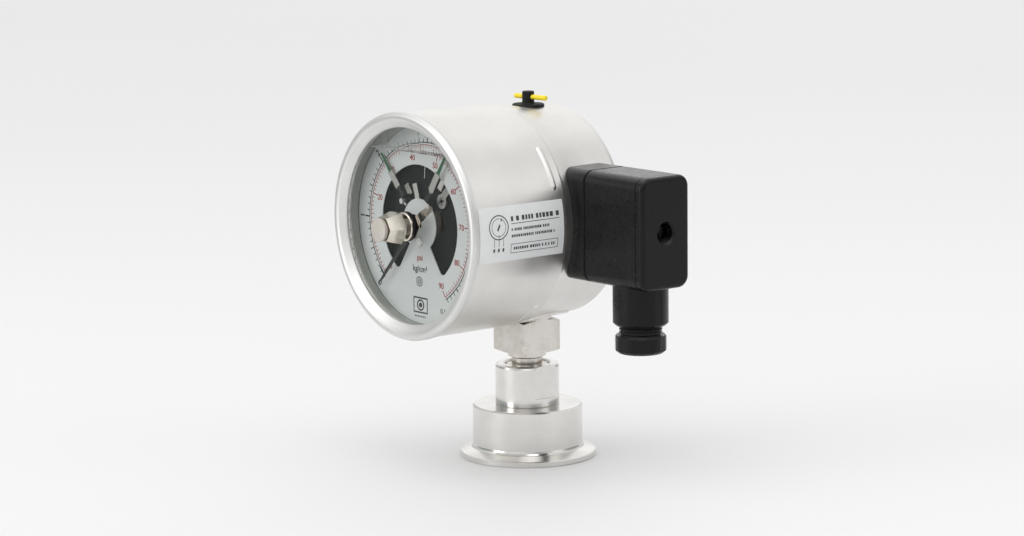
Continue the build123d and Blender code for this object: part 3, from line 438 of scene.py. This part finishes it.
def ink(name, color):
    f = Finish(name, color, rough=0.5)
    f.vary_color(f.noise(900, 2), tuple(c * 1.25 + 0.01 for c in color))
    return f.mat


def dress_nodes():
    nickel = plain_metal("nickel", (0.80, 0.745, 0.66), 0.13, 300)
    disc = plain_metal("satin_nickel", (0.60, 0.555, 0.505), 0.5, 500)
    disc.node_tree.nodes["Principled BSDF"].inputs["Metallic"].default_value = 0.25
    plastic = dusty_plastic()
    rubber = moulded("black_rubber", (0.006, 0.006, 0.006), 0.6, 1800, Specular_IOR_Level=0.25)
    brass = plain_metal("brass", (0.66, 0.49, 0.26), 0.32)
    bronze = plain_metal("bronze", (0.50, 0.33, 0.20), 0.36)
    plate = plain_metal("plate_steel", (0.56, 0.56, 0.55), 0.36)
    screw = plain_metal("screw_steel", (0.70, 0.69, 0.66), 0.24, 500)
    turned = turned_steel("turned_steel", (0.79, 0.775, 0.75), 0.2)
    contact = plain_metal("contact_strip", (0.62, 0.61, 0.57), 0.38, 500)
    charcoal = moulded("contact_moulding", (0.013, 0.0125, 0.014), 0.5, 1600, Specular_IOR_Level=0.15)
    pale = moulded("pale_gasket", (0.72, 0.70, 0.64), 0.6, 1200)
    grey = moulded("terminal_grey", (0.10, 0.10, 0.10), 0.5)
    looks = {
        satin_case("satin_case", (0.80, 0.79, 0.765), 0.36): ["case_drum", "case_rear_cup", "saddle_plate"],
        satin_case("brushed_bezel", (0.75, 0.75, 0.735), 0.44): ["bezel_ring"],
        turned: ["seal_body", "seal_adapter"],
        block_steel(): ["socket_block"],
        plain_metal("foil", (0.72, 0.72, 0.71), 0.25): ["diaphragm"],
        pale: ["stem_gasket", "window_gasket"],
        window_glass(): ["window_pane"],
        ring_paint(): ["spacer_ring"],
        painted_dial(): ["dial_plate"],
        screw: ["dial_screw", "movement_screws", "terminal_screws"],
        plain_metal("dark_screw", (0.09, 0.09, 0.09), 0.35): ["retaining_screw"],
        label_film(): ["label_plate"],
        rubber: ["vent_plug", "lock_gasket", "gland_seal", "connector_gaskets"],
        moulded("pin_yellow", (0.86, 0.66, 0.015), 0.35, 900, lift=1.05): ["vent_pin"],
        bronze: ["bourdon_tube", "tube_tip", "hairspring"],
        brass: ["movement_back_plate", "movement_front_plate", "sector_gear", "pinion_arbor", "tip_link",
                "movement_pillars"],
        plate: ["mounting_plate", "base_posts", "lock_spring"],
        plastic: ["connector_base", "connector_housing", "connector_cover", "gland_nut"],
        charcoal: ["contact_base_plate", "low_carrier", "high_carrier"],
        grey: ["terminal_block", "gland_washer"],
        moulded("pointer_black", (0.012, 0.012, 0.013), 0.4, 2400): ["main_pointer"],
        pointer_paint("pointer_paint_low", 21.0): ["set_pointer_low"],
        pointer_paint("pointer_paint_high", 19.0): ["set_pointer_high"],
        contact: ["high_contact_arm", "low_contact_arm", "contact_blades", "high_magnet", "low_magnet"],
        moulded("white_plastic", (0.80, 0.80, 0.78), 0.3, 900, lift=1.1): ["magnet_screw", "contact_wires"],
        nickel: ["lock_knob", "lock_bush", "lock_nut", "driver_arm", "thrust_washer"],
        disc: ["lock_spindle"],
    }
    for material, names in looks.items():
        for name in names:
            node = NODES[name]
            node.data.materials.clear()
            node.data.materials.append(material)


# ---- pieces made here -----------------------------------------------------------------------
def piece(name, verts, faces, body, material, smooth=False):
    mesh = bpy.data.meshes.new(name)
    mesh.from_pydata([tuple(v) for v in verts], [], faces)
    mesh.validate()
    mesh.update()
    if smooth:
        mesh.polygons.foreach_set("use_smooth", [True] * len(mesh.polygons))
        mesh.set_sharp_from_angle(angle=math.radians(32))
    obj = bpy.data.objects.new(name, mesh)
    bpy.context.scene.collection.objects.link(obj)
    mesh.materials.append(material)
    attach(obj, body)
    return obj


LIQUID_LEVEL = 33.7 * MM
LIQUID_R = 45.8 * MM
LIQUID_FRONT_GAP = 0.02 * MM
LIQUID_OVERLAP = 0.04 * MM


def make_liquid():
    """Clear solid from the window's front: the glass, and behind it liquid up to a level top."""
    level = LIQUID_LEVEL
    radius = LIQUID_R
    front = WINDOW_FRONT + LIQUID_FRONT_GAP
    middle = WINDOW_BACK
    back = BASE_FACE + LIQUID_OVERLAP
    start = math.asin(level / radius)
    low_steps, top_steps = 96, 32
    turns = [math.pi - start + (math.pi + 2 * start) * i / low_steps for i in range(low_steps + 1)]
    top = [start + (math.pi - 2 * start) * i / top_steps for i in range(1, top_steps)]
    circle = turns + top
    verts = [(radius * math.cos(a), y, AXIS_Z + radius * math.sin(a))
             for y, angles in ((front, circle), (middle, circle), (back, turns)) for a in angles]
    n, m = len(circle), len(turns)
    faces = [list(range(n)), list(range(2 * n + m - 1, 2 * n - 1, -1))]
    faces += [[i, i + n, (i + 1) % n + n, (i + 1) % n] for i in range(n)]
    faces += [[i + n, i + 2 * n, i + 1 + 2 * n, i + 1 + n] for i in range(m - 1)]
    faces.append([n + m - 1, 2 * n + m - 1, 2 * n, n])
    faces.append([n] + list(range(2 * n - 1, n + m - 2, -1)))
    obj = piece("fill_liquid", verts, faces, "case", glycerine(), smooth=True)
    obj.visible_shadow = False


def dial_place(u, v, lift):
    """Dial millimetres (right, up) and height above the dial to a place."""
    return (u * MM, DIAL_FACE - lift * MM, AXIS_Z + v * MM)


def label_place(u, v, lift):
    """Label millimetres (towards the back, up) and height above the film to a place."""
    radius = LABEL_HIGH.x + lift * MM
    return (math.sqrt(radius ** 2 - (v * MM) ** 2), u * MM, AXIS_Z + v * MM)


class Print:
    """Thin printed shapes: outlines given a hair of thickness on a surface."""

    def __init__(self, place, thick):
        self.place = place
        self.thick = thick
        self.verts = []
        self.faces = []

    def outline(self, points):
        n = len(points)
        first = len(self.verts)
        self.verts += [self.place(u, v, self.thick) for u, v in points]
        self.verts += [self.place(u, v, 0.2 * self.thick) for u, v in points]
        self.faces.append([first + i for i in range(n)])
        self.faces += [[first + i, first + n + i, first + n + (i + 1) % n, first + (i + 1) % n]
                       for i in range(n)]

    def bar(self, inner, outer, width, angle):
        s, c = math.sin(math.radians(angle)), math.cos(math.radians(angle))
        h = width / 2
        self.outline([(r * s + k * c, r * c - k * s) for r, k in
                      ((inner, -h), (inner, h), (outer, h), (outer, -h))])

    def arc(self, radius, width, start, end, steps=None):
        steps = steps or max(int(abs(end - start) / 2), 2)
        for i in range(steps):
            a, b = (math.radians(start + (end - start) * k / steps) for k in (i, i + 1))
            low, high = radius - width / 2, radius + width / 2
            self.outline([(low * math.sin(a), low * math.cos(a)), (high * math.sin(a), high * math.cos(a)),
                          (high * math.sin(b), high * math.cos(b)), (low * math.sin(b), low * math.cos(b))])

    def ring_at(self, x, z, radius, width, steps=24):
        low, high = radius - width, radius
        for i in range(steps):
            a, b = (math.tau * k / steps for k in (i, i + 1))
            self.outline([(x + r * math.cos(t), z + r * math.sin(t))
                          for r, t in ((low, a), (high, a), (high, b), (low, b))])

    def box_at(self, x, z, wide, high):
        self.outline([(x + i * wide / 2, z + k * high / 2) for i, k in ((-1, -1), (1, -1), (1, 1), (-1, 1))])

    def rows(self, left, right, low, high):
        """Upright rectangle in steps, so that it follows a curved surface."""
        steps = max(round(high - low), 1)
        for i in range(steps):
            a, b = (low + (high - low) * k / steps for k in (i, i + 1))
            self.outline([(left, a), (right, a), (right, b), (left, b)])

    def text(self, words, x, z, size, turn=0.0):
        curve = bpy.data.curves.new("words", "FONT")
        curve.body = words
        curve.size = size
        curve.align_x = "CENTER"
        curve.align_y = "CENTER"
        curve.resolution_u = 4
        curve.offset = size * 0.022
        holder = bpy.data.objects.new("words", curve)
        bpy.context.scene.collection.objects.link(holder)
        bpy.context.view_layer.update()
        mesh = bpy.data.meshes.new_from_object(holder)
        s, c = math.sin(math.radians(turn)), math.cos(math.radians(turn))
        first = len(self.verts)
        for v in mesh.vertices:
            u, w = v.co.x, v.co.y
            self.verts.append(self.place(x + u * c + w * s, z - u * s + w * c, self.thick))
        self.faces += [[first + i for i in p.vertices] for p in mesh.polygons]
        bpy.data.objects.remove(holder)
        bpy.data.meshes.remove(mesh)

    def build(self, name, body, material):
        return piece(name, self.verts, self.faces, body, material)


def on_dial(radius, angle):
    a = math.radians(angle)
    return radius * math.sin(a), radius * math.cos(a)


# Dial millimetres and clockwise degrees from the top. Each tick is (inner radius, outer radius, width),
# for every tenth, every fifth and every other mark.
PRINT_THICK = 0.05
SCALE_ZERO = -135.0
SCALE_SWEEP = 285.0
PER_UNIT = 45.0
PER_PSI = 270.0 / 85.3
UNIT_TICKS = ((37.1, 40.4, 0.7), (37.1, 39.6, 0.5), (37.1, 39.0, 0.4))
PSI_TICKS = ((32.8, 36.0, 0.5), (33.8, 36.0, 0.32), (34.5, 36.0, 0.34))


def scale_ticks(printed, count, step, ticks):
    tens, fives, ones = ticks
    for i in range(count):
        inner, outer, width = tens if i % 10 == 0 else fives if i % 5 == 0 else ones
        printed.bar(inner, outer, width, SCALE_ZERO + i * step)


def make_dial_print():
    black = Print(dial_place, PRINT_THICK)
    red = Print(dial_place, PRINT_THICK)
    scale_ticks(black, 64, PER_UNIT / 10, UNIT_TICKS)
    black.arc(37.1, 0.5, SCALE_ZERO, SCALE_ZERO + SCALE_SWEEP)
    for i in range(7):
        angle = SCALE_ZERO + i * PER_UNIT
        black.text(str(i), *on_dial(42.3, angle), 4.6, angle)
    scale_ticks(red, 91, PER_PSI, PSI_TICKS)
    red.arc(36.0, 0.36, SCALE_ZERO, SCALE_ZERO + SCALE_SWEEP)
    for i in range(10):
        red.text(str(10 * i), *on_dial(30.6, SCALE_ZERO + 10 * i * PER_PSI), 3.7)
    black.arc(37.6, 0.8, -136, -127)
    red.text("psi", 0, -15.2, 3.8)
    black.text("kg/cm²", 0, -20.4, 3.9)
    black.ring_at(-0.6, -26.2, 2.3, 0.45)
    black.ring_at(-0.6, -26.2, 1.1, 0.5)
    for x, z, wide, high in ((0, -33.7, 10.4, 0.7), (0, -40.4, 10.4, 0.7), (-4.9, -37.0, 0.6, 6.8),
                             (4.9, -37.0, 0.6, 6.8)):
        black.box_at(x, z, wide, high)
    black.ring_at(0, -37.0, 2.7, 0.8)
    black.ring_at(0, -37.0, 1.2, 1.19)
    for i in range(7):
        black.box_at(-4.1 + 1.2 * i, -42.3, 0.7, 0.8)
    black.text("0,1", 16.5, -38.0, 3.2)
    black.build("dial_print_black", "case", ink("ink_black", (0.02, 0.02, 0.022)))
    red.build("dial_print_red", "case", ink("ink_red", (0.33, 0.022, 0.02)))


# Label millimetres: towards the back, and up from the dial axis.
LABEL_THICK = 0.03
LABEL_SEED = 7
PICTURE = (-58.1, 3.8)
# (left, right, foot, height)
WORD_ROWS = (
    (-50.9, -22.9, 6.0, 2.1),
    (-50.9, -29.0, 1.6, 1.2),
    (-50.9, -26.0, -1.3, 1.2),
    (-49.6, -25.5, -7.0, 1.3),
)


def make_label_print():
    """Generic picture, word-like rows and a box; there is no lettering."""
    dark = Print(label_place, LABEL_THICK)
    rng = random.Random(LABEL_SEED)
    across, up = PICTURE
    for radius, width in ((5.6, 0.5), (4.1, 0.25)):
        dark.ring_at(across, up, radius, width, 36)
    for turn, inner, outer, wide, thin in ((62, 0, 4.4, 0.5, 0.2), (242, 0, 1.6, 0.5, 0.4)):
        c, s = math.cos(math.radians(turn)), math.sin(math.radians(turn))
        dark.outline([
            (across + r * c - k * s, up + r * s + k * c)
            for r, k in ((inner, -wide), (outer, -thin), (outer, thin), (inner, wide))])
    for x, low in ((-2.6, -5.2), (0, -3.2), (2.6, -5.2)):
        dark.rows(across + x - 0.13, across + x + 0.13, up - 8.6, up + low)
        dark.rows(across + x - 0.5, across + x + 0.5, up - 11.0, up - 9.4)
    for left, right, low, high in WORD_ROWS:
        at = left
        while at < right:
            width = min(rng.uniform(0.5, 0.9) * high, right - at)
            dark.rows(at, at + width, low, low + high)
            at += width + (0.28 if rng.random() > 0.18 else 0.8) * high
    dark.rows(-50.9, -22.9, 4.7, 5.0)
    for low in (-8.5, -4.5):
        dark.rows(-51.2, -23.8, low, low + 0.25)
    for left in (-51.2, -24.05):
        dark.rows(left, left + 0.25, -8.5, -4.25)
    dark.build("label_print", "case", ink("ink_grey", (0.045, 0.048, 0.05)))


def make_return_spring():
    """The grip's spring, copied with its own mesh onto the case body in place of the model's spring; the
    real spring shortens toward its fixed end as the grip is pushed in, which this copy is not made to do.
    """
    node = NODES["lock_spring"]
    spring = bpy.data.objects.new("return_spring", node.data.copy())
    spring.matrix_world = node.matrix_world.copy()
    bpy.context.scene.collection.objects.link(spring)
    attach(spring, "case")
    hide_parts("lock_spring")
    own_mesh(spring)


FLOOR_R = 9.0
FLOOR_SIDES = 64


def make_floor():
    mesh = bpy.data.meshes.new("floor")
    turns = [math.tau * i / FLOOR_SIDES for i in range(FLOOR_SIDES)]
    rim = [(FLOOR_R * math.cos(a), FLOOR_R * math.sin(a), 0) for a in turns]
    mesh.from_pydata(rim, [], [list(range(FLOOR_SIDES))])
    floor = bpy.data.objects.new("floor", mesh)
    bpy.context.scene.collection.objects.link(floor)
    f = Finish("floor_white", (0.77, 0.77, 0.773), rough=0.6, Specular_IOR_Level=0.2)
    f.vary_color(f.noise(0.7, 2), (0.75, 0.75, 0.75))
    mesh.materials.append(f.mat)


scene = bpy.context.scene
scene.view_settings.view_transform = "Standard"
make_camera()
make_world()
make_lights()
dress_nodes()
make_liquid()
make_dial_print()
make_label_print()
make_return_spring()
make_floor()
make_dark_card()
NODES["window_pane"].visible_shadow = False
